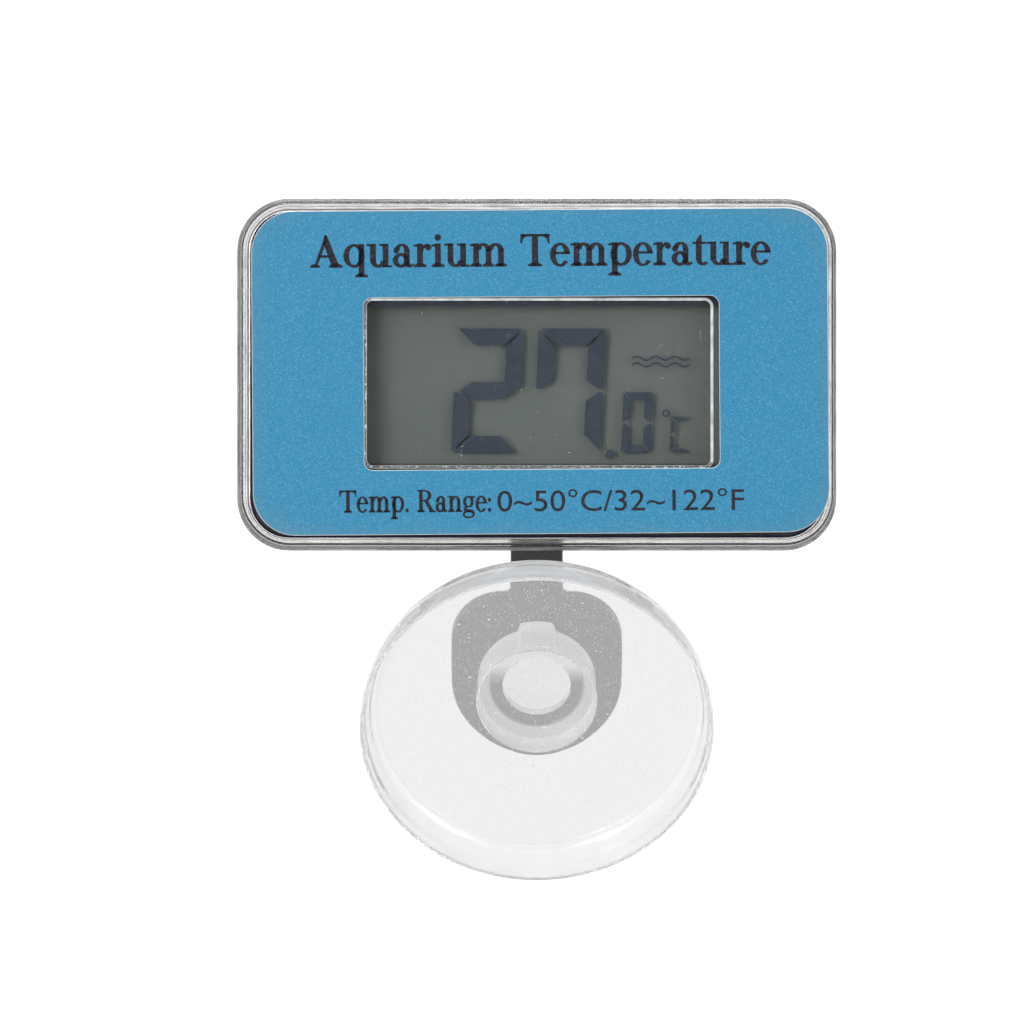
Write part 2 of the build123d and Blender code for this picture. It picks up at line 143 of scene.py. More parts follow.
class Shader:
    """A material under construction: one Principled shader and the nodes that feed it."""

    def __init__(self, name, colour, roughness, **values):
        self.material = bpy.data.materials.new(name)
        self.material.use_nodes = True
        self.nodes = self.material.node_tree.nodes
        self.links = self.material.node_tree.links
        self.nodes.clear()
        values |= {"Base_Color": (*colour, 1.0), "Roughness": roughness}
        self.shader = self.node("ShaderNodeBsdfPrincipled", **values)
        self.node("ShaderNodeOutputMaterial", Surface=self.shader.outputs[0])
        self.place = self.node("ShaderNodeTexCoord").outputs["Object"]

    def feed(self, output, socket):
        self.links.new(output, self.shader.inputs[socket])

    def node(self, kind, **values):
        """A new node, with outputs linked to its inputs or plain values set on them."""
        made = self.nodes.new(kind)
        for key, value in values.items():
            fill(self.links, made.inputs[key.replace("_", " ")], value)
        return made

    def scaled(self, scale):
        """The object's coordinates, stretched by a different amount each way."""
        return self.node("ShaderNodeMapping", Vector=self.place, Scale=scale).outputs[0]

    def case_scaled(self, stretch):
        """Coordinates along the case (right, up, depth), each stretched by a factor."""
        turn = case_turn.to_euler()
        node = self.node("ShaderNodeMapping", Vector=self.place, Rotation=turn, Scale=stretch)
        node.vector_type = "TEXTURE"
        return node.outputs[0]

    def noise(self, grain, detail=3.0, roughness=0.5, vector=None):
        """Noise whose features are about grain millimetres across."""
        values = {"Scale": 1.0 / (grain * MM), "Detail": detail, "Roughness": roughness}
        return self.node("ShaderNodeTexNoise", Vector=vector or self.place, **values).outputs["Fac"]

    def cells(self, grain, feature="F1", output="Distance", vector=None):
        """Cells about grain millimetres across."""
        scale = 1.0 / (grain * MM)
        node = self.node("ShaderNodeTexVoronoi", Vector=vector or self.place, Scale=scale)
        node.feature = feature
        return node.outputs[output]

    def paint(self, colour):
        self.feed(colour, "Base Color")

    def axes(self, vector):
        """The X, Y and Z of a vector, as three outputs."""
        return self.node("ShaderNodeSeparateXYZ", Vector=vector).outputs

    def radius(self):
        """The distance from the Y axis, which is the cup's own."""
        across, _, above = self.axes(self.place)
        squares = self.maths("MULTIPLY", across, across), self.maths("MULTIPLY", above, above)
        return self.maths("SQRT", self.maths("ADD", *squares))

    def ramp(self, value, stops):
        """A colour ramp with stops of (place, colour) or (place, grey)."""
        node = self.node("ShaderNodeValToRGB", Fac=value)
        elements = node.color_ramp.elements
        while len(elements) < len(stops):
            elements.new(0.5)
        for element, (place, colour) in zip(elements, stops):
            element.position = place
            grey = not isinstance(colour, tuple)
            element.color = (colour, colour, colour, 1.0) if grey else (*colour, 1.0)
        return node.outputs["Color"]

    def range(self, value, low, high, to_low=0.0, to_high=1.0):
        ends = {"From_Min": low, "From_Max": high, "To_Min": to_low, "To_Max": to_high}
        return self.node("ShaderNodeMapRange", Value=value, **ends).outputs["Result"]

    def maths(self, operation, first, second=None):
        node = self.nodes.new("ShaderNodeMath")
        node.operation = operation
        for socket, value in zip(node.inputs, (first, second)):
            fill(self.links, socket, value)
        return node.outputs[0]

    def mix(self, factor, first, second, blend="MIX"):
        """Mixes two colours, each an output or a plain colour."""
        node = self.nodes.new("ShaderNodeMix")
        node.data_type = "RGBA"
        node.blend_type = blend
        node.clamp_factor = True
        # Inputs 6 and 7 are the node's two colours
        sockets = (node.inputs["Factor"], node.inputs[6], node.inputs[7])
        for socket, value in zip(sockets, (factor, first, second)):
            fill(self.links, socket, (*value, 1.0) if isinstance(value, tuple) else value)
        return node.outputs[2]

    def bump(self, height, distance):
        """A bump of this many millimetres, added to any bump made before."""
        node = self.node("ShaderNodeBump", Strength=1.0, Distance=distance * MM, Height=height)
        socket = self.shader.inputs["Normal"]
        if socket.is_linked:
            self.links.new(socket.links[0].from_socket, node.inputs["Normal"])
        self.links.new(node.outputs[0], socket)


def moulded(name, colour, roughness, grain=0.12, depth=0.008, worn=0.35):
    """Moulded plastic: a fine spark-eroded grain, slow changes of shine, and faint handling marks."""
    s = Shader(name, colour, roughness)
    fine = s.noise(grain, detail=4.0, roughness=0.6)
    slow = s.noise(9, detail=2.0)
    marks = s.noise(1.5, detail=5.0, roughness=0.7, vector=s.scaled((1.0, 1.0, 0.12)))
    s.bump(fine, depth)
    shine = s.range(slow, 0.3, 0.7, roughness - 0.07, roughness + 0.07)
    s.feed(s.maths("SUBTRACT", shine, s.range(marks, 0.62, 0.75, 0.0, worn * 0.3)), "Roughness")
    lighter = tuple(min(1.0, c * 1.5 + 0.012) for c in colour)
    s.paint(s.mix(s.range(slow, 0.25, 0.75), colour, lighter))
    return s.material


def rubbery(name, colour, roughness=0.6):
    """Rubber or foam: a dull skin with fine pores."""
    s = Shader(name, colour, roughness, Specular_IOR_Level=0.35)
    pores = s.cells(0.09)
    s.bump(pores, 0.01)
    dusty = s.noise(1.2, detail=4.0)
    pale = tuple(min(1.0, c * 1.6 + 0.02) for c in colour)
    s.paint(s.mix(s.range(dusty, 0.4, 0.8, 0.0, 0.7), colour, pale))
    s.feed(s.range(dusty, 0.2, 0.8, roughness - 0.1, roughness + 0.12), "Roughness")
    return s.material


def metallic(name, colour, roughness):
    """Plated metal with a very fine grain and patches of dull tarnish."""
    s = Shader(name, colour, roughness, Metallic=1.0)
    s.bump(s.noise(0.05), 0.002)
    tarnish = s.noise(0.9, detail=4.0)
    dull = tuple(c * 0.72 for c in colour)
    s.paint(s.mix(s.range(tarnish, 0.45, 0.85, 0.0, 0.8), colour, dull))
    s.feed(s.range(tarnish, 0.3, 0.8, roughness, roughness + 0.18), "Roughness")
    return s.material


# ---- Materials of the case ----


def styrene_joint():
    """The cover's back edge, frosted and streaked along its length where it meets the housing."""
    streak, across = 3, 0.22
    corner_start, corner_end = 25.2 * MM, 26.4 * MM
    s = Shader("styrene_joint", (0.70, 0.69, 0.68), 0.3, Transmission_Weight=0.80, IOR=1.5)
    level = s.noise(1.0, detail=4.0, roughness=0.65, vector=s.case_scaled((streak, across, streak)))
    upright = s.noise(1.0, detail=4.0, roughness=0.65, vector=s.case_scaled((across, streak, streak)))
    from_middle = s.maths("ABSOLUTE", s.axes(s.place)[0])
    streaks = s.mix(s.range(from_middle, corner_start, corner_end), level, upright)
    s.paint(s.ramp(streaks, [(0.36, (0.22, 0.22, 0.23)), (0.60, (0.86, 0.85, 0.83))]))
    s.bump(streaks, 0.05)
    return s.material


def styrene_flange():
    """The thin flange round the cover's back edge: streaked grey painted shade, for the darker surroundings
    seen along the outline, on a scuffed bump.
    """
    s = Shader("styrene_flange", (0.3, 0.3, 0.3), 0.3, Transmission_Weight=0.6, IOR=1.3)
    scuffs_and_painted_shade = s.noise(0.35, detail=5.0, roughness=0.7)
    # Painted shade: the flange is streaked dark to mid grey
    s.paint(s.ramp(scuffs_and_painted_shade, [(0.38, (0.05, 0.05, 0.055)), (0.60, (0.36, 0.355, 0.35))]))
    s.bump(scuffs_and_painted_shade, 0.03)
    return s.material


def styrene_shaded(name, colour):
    """A dark flat colour on the cover's inner wall: painted shade along the gasket behind it, and the cement
    line.
    """
    s = Shader(name, colour, 0.5, IOR=1.0, Specular_IOR_Level=0.0)
    s.bump(s.noise(0.4, detail=3.0), 0.02)
    return s.material


def styrene_frost_and_highlight():
    """The window's upper and right edges, frosted unevenly and painted pale as a highlight where light
    catches them.
    """
    s = Shader("styrene_frost_and_highlight", (0.80, 0.84, 0.82), 0.35, Transmission_Weight=0.35, IOR=1.5)
    worn = s.noise(1.2, detail=4.0)
    # Painted highlight: these edges are painted pale, unevenly
    s.paint(s.ramp(worn, [(0.34, (0.36, 0.40, 0.38)), (0.60, (0.72, 0.77, 0.75))]))
    s.bump(s.noise(0.2, detail=2.0), 0.02)
    return s.material


def styrene_chipped():
    """The window's lower and left edges: clear, with small bright chips."""
    s = Shader("styrene_chipped", (0.80, 0.82, 0.81), 0.1, Transmission_Weight=1.0, IOR=1.56)
    chips = s.ramp(s.noise(0.30, detail=3.0, roughness=0.7), [(0.54, 0.0), (0.62, 1.0)])
    s.paint(s.mix(chips, (0.12, 0.13, 0.13), (0.85, 0.87, 0.86)))
    s.feed(s.range(chips, 0.0, 1.0, 0.95, 0.15), "Transmission Weight")
    s.bump(s.noise(0.5, detail=2.0), 0.03)
    return s.material


def styrene_edge():
    """The cover's edges: the same styrene, with the uneven polish of moulded corners."""
    s = Shader("styrene_edge", (0.90, 0.895, 0.89), 0.05, Transmission_Weight=1.0, IOR=1.56)
    s.bump(s.noise(1.0, detail=3.0, vector=s.case_scaled((2, 2, 0.3))), 0.03)
    s.feed(s.range(s.noise(0.6, detail=2.0), 0.4, 0.7, 0.02, 0.16), "Roughness")
    return s.material


def clear_styrene():
    """Polished clear styrene: faint flow waves, hairline scratches and a trace of grey."""
    s = Shader("clear_styrene", (0.975, 0.985, 0.985), 0.012, Transmission_Weight=1.0, IOR=1.56)
    scratches = s.cells(2.6, feature="DISTANCE_TO_EDGE", vector=s.scaled((1.0, 0.35, 1.6)))
    hairline = s.ramp(scratches, [(0.0, 1.0), (0.006, 0.0)])
    broken = s.ramp(s.noise(1.1, detail=2.0), [(0.56, 0.0), (0.64, 1.0)])
    marks = s.mix(1.0, hairline, broken, blend="MULTIPLY")
    s.bump(s.noise(5, detail=1.0), 0.02)
    s.bump(marks, 0.004)
    s.feed(s.range(marks, 0.0, 1.0, 0.012, 0.22), "Roughness")
    return s.material


def pearl_label():
    """Blue pearly print: mica flakes with painted glints, a fine grain, and a grey-green painted reflection
    towards the corners.
    """
    blue = (0.020, 0.206, 0.372)
    deep = (0.010, 0.152, 0.296)
    pale = (0.042, 0.260, 0.440)
    # The painted glint colour of the flakes, then the grey-green of the painted reflection at the corners
    painted_glint = (0.18, 0.44, 0.60)
    grey = (0.105, 0.215, 0.265)
    s = Shader("pearl_label", blue, 0.42, Metallic=0.15, Coat_Weight=0.2, Coat_Roughness=0.2)
    flake_colour = s.node("ShaderNodeSeparateColor", Color=s.cells(0.085, output="Color"))
    grain = s.noise(0.18, detail=4.0, roughness=0.8)
    mottle = s.noise(2.2, detail=3.0, roughness=0.5)
    colour = s.mix(s.range(grain, 0.30, 0.70), deep, pale)
    colour = s.mix(s.range(mottle, 0.35, 0.65, 0.15, 0.50), colour, blue)
    # Painted glints: random flakes are made paler in the base colour
    colour = s.mix(s.range(flake_colour.outputs[0], 0.75, 1.0, 0.0, 0.40), colour, painted_glint)
    offset = s.nodes.new("ShaderNodeVectorMath")
    offset.operation = "SUBTRACT"
    offset.inputs[1].default_value = on_case(*LABEL_MIDDLE, 0)
    s.links.new(s.place, offset.inputs[0])
    out = s.axes(offset.outputs[0])
    # How far out towards the label's edges: 0 in its middle and 1 at an edge
    side = s.maths("ABSOLUTE", s.maths("DIVIDE", out[0], LABEL_SIZE[0] / 2))
    rise = s.maths("ABSOLUTE", s.maths("DIVIDE", out[2], LABEL_SIZE[1] / 2 * case_up.z))
    corner = s.maths("ADD", s.maths("POWER", side, 9.0), s.maths("POWER", rise, 9.0))
    # Painted reflection: grey-green fades in towards the label's corners, broken by the mottle
    painted_reflection_mask = s.maths("ADD", corner, s.range(mottle, 0.3, 0.7, -0.15, 0.15))
    s.paint(s.mix(s.range(painted_reflection_mask, 0.50, 1.9, 0.0, 0.70), colour, grey))
    s.feed(s.range(flake_colour.outputs[1], 0.0, 1.0, 0.30, 0.55), "Roughness")
    s.bump(grain, 0.010)
    return s.material


def ink():
    """Black screen-printed ink, thin in places so that a little of the blue shows."""
    s = Shader("ink", (0.020, 0.014, 0.018), 0.5, Specular_IOR_Level=0.25)
    patchy = s.noise(0.20, detail=4.0, roughness=0.75)
    s.paint(s.ramp(patchy, [(0.36, (0.040, 0.036, 0.055)), (0.50, (0.010, 0.008, 0.010))]))
    s.bump(patchy, 0.006)
    return s.material


# ---- Materials of the display ----


def display_glass(name="display_glass", tint=(0.97, 0.985, 0.975), ior=1.5):
    s = Shader(name, tint, 0.0, Transmission_Weight=1.0, IOR=ior)
    s.bump(s.noise(4, detail=1.0), 0.004)
    return s.material


def reflector_foil():
    """The grey-green foil behind the display: a fine satin speckle."""
    s = Shader("reflector_foil", (0.145, 0.165, 0.155), 0.5, Metallic=0.2)
    speckle = s.noise(0.11, detail=3.0, roughness=0.7)
    slow = s.noise(7, detail=2.0)
    base = s.mix(s.range(slow, 0.3, 0.7), (0.138, 0.146, 0.146), (0.168, 0.170, 0.170))
    s.paint(s.mix(s.range(speckle, 0.35, 0.65), base, (0.124, 0.132, 0.132)))
    s.bump(speckle, 0.003)
    return s.material


def lit_segments():
    """Darkened liquid crystal: navy, a little mottled."""
    s = Shader("lit_segments", (0.026, 0.036, 0.075), 0.4)
    cloudy = s.noise(0.6, detail=4.0)
    s.paint(s.ramp(cloudy, [(0.3, (0.020, 0.028, 0.050)), (0.7, (0.032, 0.042, 0.066))]))
    return s.material


# ---- Materials of the cup and the board ----


def soft_pvc():
    """Clear soft PVC with a milky bloom, faint flow lines, tiny bubbles and specks of dust."""
    clearness = 0.78
    milk = (0.74, 0.74, 0.74)
    s = Shader("soft_pvc", milk, 0.04, IOR=1.45)
    flow = s.noise(4, detail=2.0, roughness=0.4)
    s.bump(flow, 0.012)
    fine = s.ramp(s.cells(0.26), [(0.0, 1.0), (0.12, 1.0), (0.20, 0.0)])
    large = s.ramp(s.cells(1.7), [(0.0, 1.0), (0.05, 1.0), (0.075, 0.0)])
    # The small bubbles come in patches, and none is near the thin lip
    patches = s.ramp(s.noise(1.4, detail=3.0), [(0.42, 0.0), (0.54, 1.0)])
    inside = s.range(s.radius(), 14.4 * MM, 15.0 * MM, 1.0, 0.0)
    patches = s.maths("MULTIPLY", patches, inside)
    bubbles = s.mix(1.0, s.mix(1.0, fine, patches, blend="MULTIPLY"), large, blend="ADD")
    s.feed(s.range(bubbles, 0.0, 1.0, clearness, 0.15), "Transmission Weight")
    dust = s.ramp(s.cells(2.9), [(0.0, 1.0), (0.018, 1.0), (0.024, 0.0)])
    s.paint(s.mix(dust, milk, (0.25, 0.25, 0.25)))
    s.feed(s.range(flow, 0.3, 0.7, 0.02, 0.08), "Roughness")
    return s.material


def lip_pvc():
    """The cup's thin lip and shoulder: the same PVC, polished, with slow changes of shine."""
    s = Shader("lip_pvc", (0.84, 0.84, 0.845), 0.05, Transmission_Weight=0.84, IOR=1.35)
    slow = s.noise(3, detail=2.0)
    s.feed(s.range(slow, 0.3, 0.7, 0.02, 0.08), "Roughness")
    s.paint(s.ramp(slow, [(0.3, (0.80, 0.80, 0.805)), (0.7, (0.87, 0.87, 0.875))]))
    return s.material


def satin_pvc():
    """The pedestal: satin round its edge, and on its upper side satin with painted light that makes it paler
    and less clear.
    """
    s = Shader("satin_pvc", (0.86, 0.86, 0.86), 0.40, Transmission_Weight=0.45, IOR=1.45)
    # 0 is clear and 1 is satin; on the upper side this also paints light, paler and less clear
    at_edge = s.range(s.radius(), 4.15 * MM, 4.45 * MM, 0.0, 0.70)
    # Painted light: the upper side is made paler, as if lit from above
    upper = s.range(s.axes(s.place)[2], 0.2 * MM, 2.2 * MM)
    satin_and_painted_light = s.maths("MAXIMUM", upper, at_edge)
    s.feed(s.range(satin_and_painted_light, 0.0, 1.0, 0.76, 0.36), "Transmission Weight")
    s.feed(s.range(satin_and_painted_light, 0.0, 1.0, 0.08, 0.42), "Roughness")
    s.paint(s.mix(satin_and_painted_light, (0.76, 0.76, 0.76), (0.98, 0.98, 0.98)))
    s.bump(s.noise(0.3, detail=3.0), 0.02)
    return s.material


def solder_mask():
    s = Shader("solder_mask", (0.012, 0.085, 0.035), 0.28)
    tracks = s.cells(1.8, feature="DISTANCE_TO_EDGE")
    raised = s.ramp(tracks, [(0.05, 1.0), (0.10, 0.0)])
    s.paint(s.mix(raised, (0.012, 0.085, 0.035), (0.030, 0.150, 0.060)))
    s.bump(raised, 0.02)
    return s.material


def zebra_rubber():
    """Silicone strip with thin conducting stripes across it."""
    s = Shader("zebra_rubber", (0.72, 0.60, 0.58), 0.5)
    wave = s.node("ShaderNodeTexWave", Vector=s.place, Scale=1.0 / (0.6 * MM))
    wave.bands_direction = "X"
    stripe = s.ramp(wave.outputs["Fac"], [(0.45, 0.0), (0.55, 1.0)])
    s.paint(s.mix(stripe, (0.72, 0.60, 0.58), (0.05, 0.05, 0.05)))
    s.bump(stripe, 0.01)
    return s.material


def speckled(name, colour, roughness, spread=0.3):
    """Small fired or cast parts: glossy, with a fine speckle."""
    s = Shader(name, colour, roughness)
    spots = s.noise(0.1, detail=4.0)
    dark = tuple(c * (1 - spread) for c in colour)
    s.paint(s.mix(s.range(spots, 0.35, 0.65), dark, colour))
    s.bump(spots, 0.004)
    return s.material


cell_plate = metallic("cell_plate", (0.72, 0.71, 0.69), 0.18)
bronze = metallic("spring_bronze", (0.62, 0.40, 0.20), 0.24)
bright_steel = metallic("bright_steel", (0.62, 0.62, 0.61), 0.22)
black_rubber = rubbery("black_rubber", (0.016, 0.016, 0.017))

node_materials = {
    "case_gasket": black_rubber,
    "rear_housing": moulded("housing_plastic", (0.014, 0.014, 0.015), 0.42),
    "lcd_foam_frame": rubbery("foam", (0.022, 0.024, 0.036), 0.8),
    "lcd_edge_seal": speckled("edge_sealant", (0.06, 0.06, 0.065), 0.5),
    "lcd_holder": moulded("holder_plastic", (0.68, 0.68, 0.65), 0.5, worn=0.1),
    "zebra_strip": zebra_rubber(),
    "circuit_board": solder_mask(),
    "pcb_screws": bright_steel,
    "chip_blob": speckled("black_epoxy", (0.012, 0.012, 0.012), 0.15),
    "chip_resistors": speckled("resistor_glaze", (0.02, 0.02, 0.022), 0.25),
    "chip_capacitors": speckled("capacitor_ceramic", (0.34, 0.22, 0.12), 0.4),
    "timing_crystal": bright_steel,
    "cell_can": cell_plate,
    "cell_gasket": speckled("nylon", (0.55, 0.55, 0.50), 0.4, spread=0.1),
    "cell_cap": cell_plate,
    "positive_contact": bronze,
    "negative_contact": bronze,
    "battery_cap": moulded("cap_plastic", (0.012, 0.012, 0.013), 0.36, grain=0.09),
    "battery_cap_oring": black_rubber,
    "sensor_cap": metallic("stainless_steel", (0.60, 0.60, 0.60), 0.20),
    "sensor_seal": black_rubber,
    "thermistor": speckled("thermistor_bead", (0.03, 0.022, 0.018), 0.2),
    "hanger": moulded("hanger_plastic", (0.016, 0.016, 0.017), 0.30, grain=0.2, depth=0.005),
}

for node, material in node_materials.items():
    mesh = frame["nodes"][node].data
    mesh.materials.clear()
    mesh.materials.append(material)


def let_light_through(piece):
    """Lamps reach what lies behind a clear layer."""
    piece.visible_shadow = False
    piece.visible_diffuse = False


# ---- Mesh helpers ----


def add_piece(name, mesh, body):
    piece = new_object(name, mesh)
    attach(piece, body)
    return piece


def add_mesh(name, work, material, body, smooth=True):
    """Turns finished bmesh work into a piece that rides on a body."""
    bmesh.ops.recalc_face_normals(work, faces=work.faces)
    mesh = bpy.data.meshes.new(name)
    work.to_mesh(mesh)
    work.free()
    for polygon in mesh.polygons:
        polygon.use_smooth = smooth
    mesh.materials.append(material)
    return add_piece(name, mesh, body)


def lathe(profile, turns, extra_radius):
    """A closed solid turned about the Y axis from (radius, y) points, the ends on the axis."""
    work = bmesh.new()
    rings = []
    for radius, y in profile:
        if radius < 1e-7:
            rings.append([work.verts.new((0, y, 0))])
            continue
        ring = []
        for k in range(turns):
            angle = 2 * math.pi * k / turns
            reach = radius + extra_radius(radius, y, angle)
            ring.append(work.verts.new((reach * math.cos(angle), y, reach * math.sin(angle))))
        rings.append(ring)
    for first, second in zip(rings, rings[1:]):
        for k in range(turns):
            n = (k + 1) % turns
            # An end on the axis is a ring of one vertex
            corners = [first[k % len(first)], first[n % len(first)]]
            corners += [second[n % len(second)], second[k % len(second)]]
            distinct = list(dict.fromkeys(corners))
            if len(distinct) > 2:
                work.faces.new(distinct)
    return work


def rounded_path(points, radii):
    """Points of an open outline, with each inner corner rounded by an arc of its own radius."""
    arc_steps = 10
    path = [Vector(points[0])]
    for before, corner, after, radius in zip(points, points[1:], points[2:], radii):
        corner = Vector(corner)
        to_before = (Vector(before) - corner).normalized()
        to_after = (Vector(after) - corner).normalized()
        half = to_before.angle(to_after) / 2
        if radius <= 0 or half > math.pi / 2 - 0.01:  # a sharp corner, or nearly none
            path.append(corner)
            continue
        reach = radius / math.tan(half)
        centre = corner + (to_before + to_after).normalized() * (radius / math.sin(half))
        start = corner + to_before * reach - centre
        sweep = start.angle_signed(corner + to_after * reach - centre)
        for k in range(arc_steps + 1):
            turned = Matrix.Rotation(-sweep * k / arc_steps, 2) @ start
            path.append(centre + turned)
    path.append(Vector(points[-1]))
    return path


def split_long(path, longest):
    """The same path, with points added so that no step is longer than this."""
    split = [path[0]]
    for before, after in zip(path, path[1:]):
        pieces = max(1, math.ceil((after - before).length / longest))
        split += [before.lerp(after, k / pieces) for k in range(1, pieces + 1)]
    return split


# ---- Front cover ----

CASE_WIDTH = 55.0 * MM
CASE_HEIGHT = 32.3 * MM
CASE_CORNER = 4.8 * MM
CORNER_STEPS = 12
# In millimetres, as in the cover's section
COVER_DEPTH = 4.6
OUTER_WALL_INSET = 0.9  # the section's points with less inset than this lean
FACING = 0.9999  # the cosine from which a polygon counts as square to the case's depth
UNDERSIDE = -0.2  # the window's edges that face this much left or down are chipped


def rounded_rectangle(middle, size, corner, inset):
    """Points (x, up) of a rounded rectangle drawn in by an inset, from its lower right corner on."""
    points = []
    radius = corner - inset
    for quarter, (side, rise) in enumerate(((1, -1), (1, 1), (-1, 1), (-1, -1))):
        arc_x = middle[0] + side * (size[0] / 2 - corner)
        arc_up = middle[1] + rise * (size[1] / 2 - corner)
        for k in range(CORNER_STEPS + 1):
            angle = math.radians(-90 + 90 * quarter + 90 * k / CORNER_STEPS)
            points.append((arc_x + radius * math.cos(angle), arc_up + radius * math.sin(angle)))
    return points


def is_flat(polygon):
    return abs(polygon.normal.dot(case_back)) > FACING


def loft(work, loops, hollow=False):
    """Joins loops of points into one closed skin: capped at both ends, or the last back to the first."""
    rings = [[work.verts.new(point) for point in loop] for loop in loops]
    for first, second in zip(rings, rings[1:] + rings[:1] if hollow else rings[1:]):
        for k in range(len(first)):
            n = (k + 1) % len(first)
            work.faces.new((first[k], first[n], second[n], second[k]))
    if not hollow:
        work.faces.new(rings[0])
        work.faces.new(rings[-1])


def arc_profile(start, end, bulge, steps=5):
    """Points of a quarter arc between two (inset, depth) points, bulging past the chord's corner."""
    points = []
    for k in range(steps + 1):
        angle = math.pi / 2 * k / steps
        along, across = math.sin(angle), 1 - math.cos(angle)
        if bulge == "depth_first":
            along, across = across, along
        points.append((start[0] + (end[0] - start[0]) * along, start[1] + (end[1] - start[1]) * across))
    return points


CLEAR, EDGE, JOINT, FLANGE, PAINTED_GASKET_SHADE, CEMENT_LINE, FROST_AND_HIGHLIGHT, CHIPPED = range(8)
# Each stretch of the cover's section: its (inset from the outline, depth) points in millimetres, and
# the finish of the surface from them on. It runs from the cavity, round the back edge and up the
# flange and the outer wall, which leans in towards the front, to the recess for the label.
cover_section = (
    # Painted shade: the cavity's inner fillet is coloured dark navy where the gasket lies behind it
    (arc_profile((1.75, 1.68), (1.40, 2.05), "inset_first"), PAINTED_GASKET_SHADE),
    ([(1.19, 4.30)], EDGE),
    ([(1.07, 4.42)], CEMENT_LINE),
    ([(0.95, 4.60)], JOINT),
    # The flange carries painted grey shade
    (arc_profile((0.10, 4.60), (0.0, 4.50), "inset_first", steps=3), FLANGE),
    (arc_profile((0.0, 4.35), (0.20, 4.20), "depth_first", steps=3), EDGE),
    (arc_profile((0.30, 0.30), (0.54, 0.0), "depth_first", steps=8), EDGE),
    (arc_profile((0.62, 0.0), (0.70, 0.08), "inset_first", steps=4), EDGE),
    (arc_profile((0.72, 0.28), (0.84, 0.40), "depth_first", steps=5), EDGE),
)
LOWER_WALL_LEAN = 0.20 * MM
LEFT_WALL_LEAN = 0.10 * MM
WINDOW_SIZE = (31.9 * MM, 15.5 * MM)
WINDOW_CORNER = 0.75 * MM
WINDOW_MIDDLE = (0.17 * MM, 15.37 * MM)
window_section = arc_profile((-0.08, 0.40), (0.0, 0.32), "inset_first", steps=5) + arc_profile(
    (0.0, 0.30), (0.19, 0.0), "depth_first", steps=8
)


def case_extent(node):
    """The lowest and highest (x, up, depth) of a CAD part of the case."""
    spots = [vertex.co - case_zero for vertex in frame["nodes"][node].data.vertices]
    along = [[spot.dot(axis) for spot in spots] for axis in (case_right, case_up, case_back)]
    return [min(values) for values in along], [max(values) for values in along]


def add_sheet(node, material, corner):
    """A flat layer of the display, with softly rounded edges and a hair's gap before and behind."""
    low, high = case_extent(node)
    middle = ((low[0] + high[0]) / 2, (low[1] + high[1]) / 2)
    size = (high[0] - low[0], high[1] - low[1])
    gap, edge = 0.008 * MM, 0.04 * MM
    front, back = low[2] + gap, high[2] - gap
    loops = []
    for inset, depth in ((edge, front), (0.0, front + edge), (0.0, back - edge), (edge, back)):
        shape = rounded_rectangle(middle, size, corner, inset)
        loops.append([on_case(x, up, depth) for x, up in shape])
    layer = bmesh.new()
    loft(layer, loops)
    piece = add_mesh(node + "_layer", layer, material, "case", smooth=False)
    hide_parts(node)
    return piece


glass_material = display_glass()
sheet_corner = 0.3 * MM
for node, material, slot in (
    ("lcd_front_polariser", display_glass("polariser_film", (0.93, 0.95, 0.93), ior=1.06), "polariser"),
    ("lcd_front_glass", glass_material, "display_glass"),
    ("lcd_rear_glass", glass_material, "display_glass"),
):
    let_light_through(add_sheet(node, material, sheet_corner))
add_sheet("lcd_reflector", reflector_foil(), sheet_corner)

cover_loops = []
finishes = []
for points, finish in cover_section:
    for inset, depth in points:
        # The lower and left sides lean more than the others
        share = max(0.0, 1 - depth / COVER_DEPTH) if inset < OUTER_WALL_INSET else 0.0
        lower_lean, left_lean = LOWER_WALL_LEAN * share, LEFT_WALL_LEAN * share
        middle = (left_lean / 2, (CASE_HEIGHT + lower_lean) / 2)
        size = (CASE_WIDTH - left_lean, CASE_HEIGHT - lower_lean)
        shape = rounded_rectangle(middle, size, CASE_CORNER, inset * MM)
        cover_loops.append([on_case(x, up, depth * MM) for x, up in shape])
        finishes.append(finish)
# The window's edges: frosted, with a painted highlight on the upper and right sides
for inset, depth in window_section:
    shape = rounded_rectangle(WINDOW_MIDDLE, WINDOW_SIZE, WINDOW_CORNER, inset * MM)
    cover_loops.append([on_case(x, up, depth * MM) for x, up in shape])
    finishes.append(FROST_AND_HIGHLIGHT)
work = bmesh.new()
loft(work, cover_loops)
cover = add_mesh("cover_body", work, clear_styrene(), "case")
for finish_material in (
    styrene_edge(),
    styrene_joint(),
    styrene_flange(),
    # painted shade along the gasket
    styrene_shaded("painted_gasket_shade", (0.012, 0.014, 0.026)),
    styrene_shaded("cement_line", (0.15, 0.13, 0.12)),
    styrene_frost_and_highlight(),
    styrene_chipped(),
):
    cover.data.materials.append(finish_material)
# The loft makes one strip of polygons after another, and its two flat ends last
strip_length = len(cover_loops[0])
for polygon in cover.data.polygons:
    flat = is_flat(polygon)
    strip = polygon.index // strip_length
    finish = finishes[strip] if strip < len(finishes) - 1 else CLEAR
    if finish == FROST_AND_HIGHLIGHT and min(polygon.normal.x, polygon.normal.dot(case_up)) < UNDERSIDE:
        finish = CHIPPED
    polygon.use_smooth = not flat
    polygon.material_index = CLEAR if flat and finish != JOINT else finish
let_light_through(cover)
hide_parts("front_cover")

# ---- Label ----

